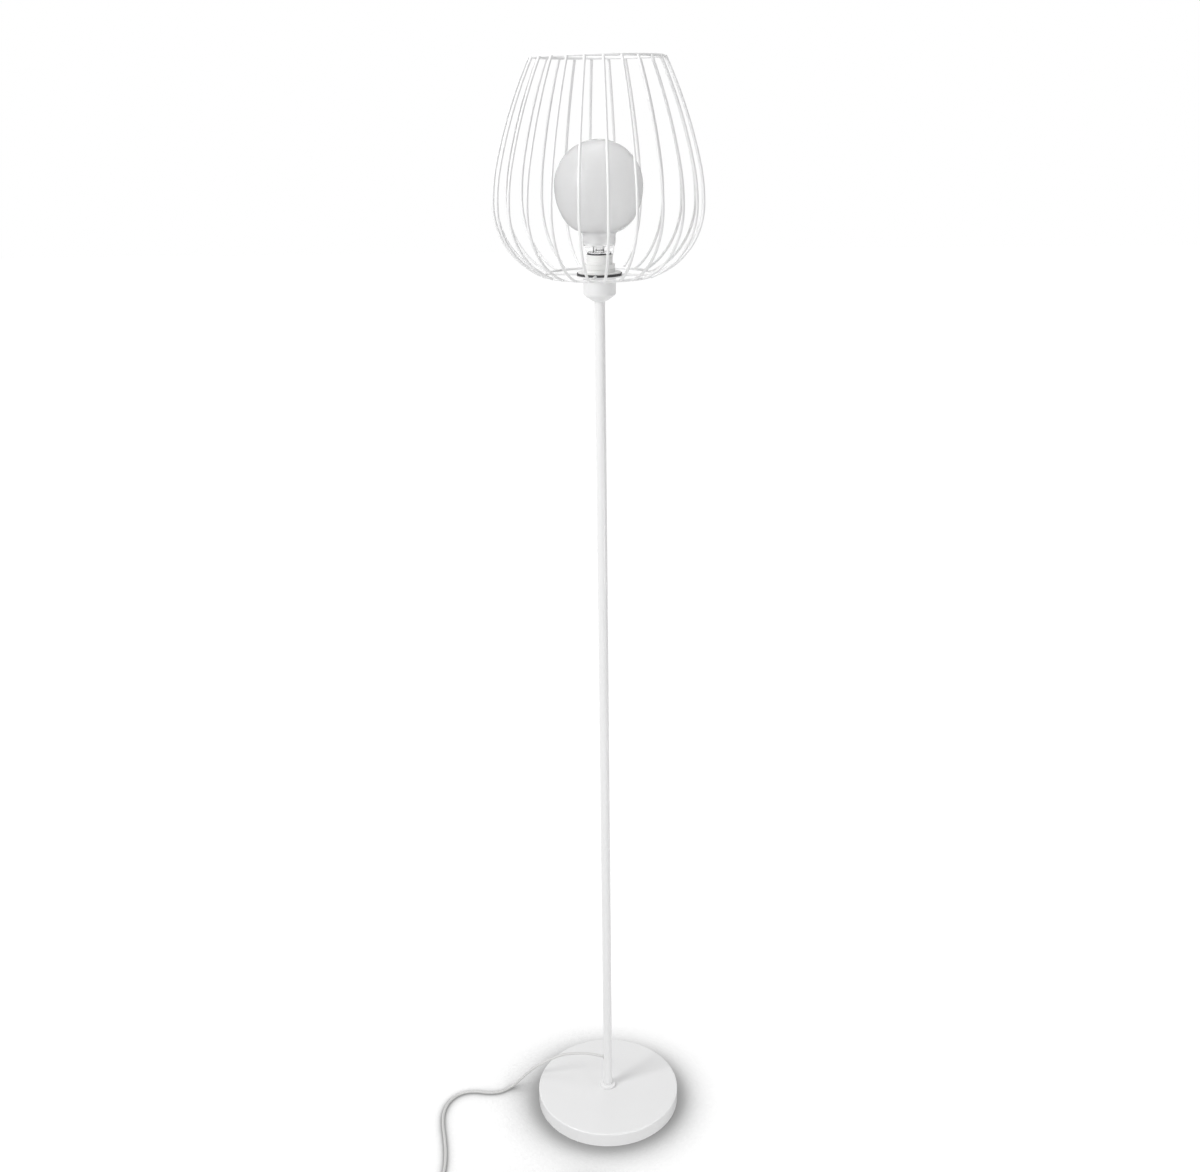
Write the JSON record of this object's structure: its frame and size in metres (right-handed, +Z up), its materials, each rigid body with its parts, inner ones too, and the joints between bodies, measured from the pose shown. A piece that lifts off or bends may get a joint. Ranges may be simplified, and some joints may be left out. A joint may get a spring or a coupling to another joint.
{
  "type": "floor lamp",
  "caption": "White floor lamp with a round weighted base, a slim pole and an open cage of bent wires round a large frosted globe bulb, on a mains cord with a foot switch.",
  "frame": {"origin": "centre of the round base on the floor", "axes": "+Z up along the pole; -Y towards the viewer of the picture; +X to the viewer's right; the cord leaves the pole towards -X"},
  "size_m": [0.4704, 0.4495, 1.762],
  "materials": {
    "white_paint": "satin white powder coat",
    "cement": "rough cast cement",
    "foam_pad": "dark foam rubber",
    "zinc_steel": "zinc-plated steel",
    "holder_plastic": "white phenolic plastic, slightly glossy",
    "black_rubber": "black rubber",
    "brass_parts": "bare brass",
    "frosted_glass": "white frosted glass, clear at the neck's foot",
    "clear_glass": "clear glass",
    "cap_metal": "bare aluminium",
    "black_glass": "black glass insulator",
    "dark_steel": "dark wire",
    "white_plastic": "white moulded plastic",
    "white_cord": "white smooth round cord",
    "nickel": "nickel-plated brass"
  },
  "bodies": {
    "lamp": {"base_cover": "white_paint", "base_weight": "cement", "base_pad": "foam_pad", "base_washer": "zinc_steel", "base_stud": "zinc_steel", "foot_collar": "white_paint", "pole_lower": "white_paint", "pole_middle": "white_paint", "pole_upper": "white_paint", "pole_bushes": "zinc_steel", "pole_nipples": "zinc_steel", "cord_grommet": "holder_plastic", "pole_cord": "white_cord", "holder_cup": "white_paint", "head_nipple": "zinc_steel", "lock_nuts": "zinc_steel", "holder_dome": "holder_plastic", "holder_barrel": "holder_plastic", "holder_core": "holder_plastic", "screw_shell": "brass_parts", "centre_contact": "brass_parts", "terminal_blocks": "holder_plastic", "terminal_screws": "zinc_steel", "holder_wires": "white_cord", "cage_plate": "white_paint", "plate_gasket": "black_rubber", "clamp_ring_lower": "holder_plastic", "clamp_ring_upper": "holder_plastic", "cage_ring_top": "white_paint", "cage_ring_bottom": "white_paint", "cage_spokes": "white_paint", "cage_bars": "white_paint", "cord_lead": "white_cord", "switch_base": "white_plastic", "switch_cover": "white_plastic", "switch_spring": "zinc_steel", "switch_terminals": "brass_parts", "contact_blade": "brass_parts", "switch_sleeves": "white_plastic", "cord_link": "white_cord", "cord_coil": "white_cord", "cord_tail": "white_cord", "plug_body": "white_plastic", "plug_relief": "white_plastic", "plug_pins": "nickel", "pin_sleeves": "white_plastic"},
    "bulb": {"bulb_glass": "frosted_glass", "bulb_cap": "cap_metal", "bulb_insulator": "black_glass", "bulb_contact": "cap_metal", "bulb_stem": "clear_glass", "bulb_posts": "dark_steel", "bulb_filament": "dark_steel"},
    "foot_button": {"switch_button": "white_plastic"}
  },
  "joints": [
    {"name": "bulb_lift", "type": "slide", "parent": "lamp", "child": "bulb", "axis": [0, 0, 1], "range_m": [0, 0.3]},
    {"name": "foot_button_press", "type": "slide", "parent": "lamp", "child": "foot_button", "axis": [0, 0, -1], "range_m": [0, 0.003], "stiffness_N_per_m": 600, "springref_m": -0.005, "deforming": ["switch_spring"]}
  ]
}
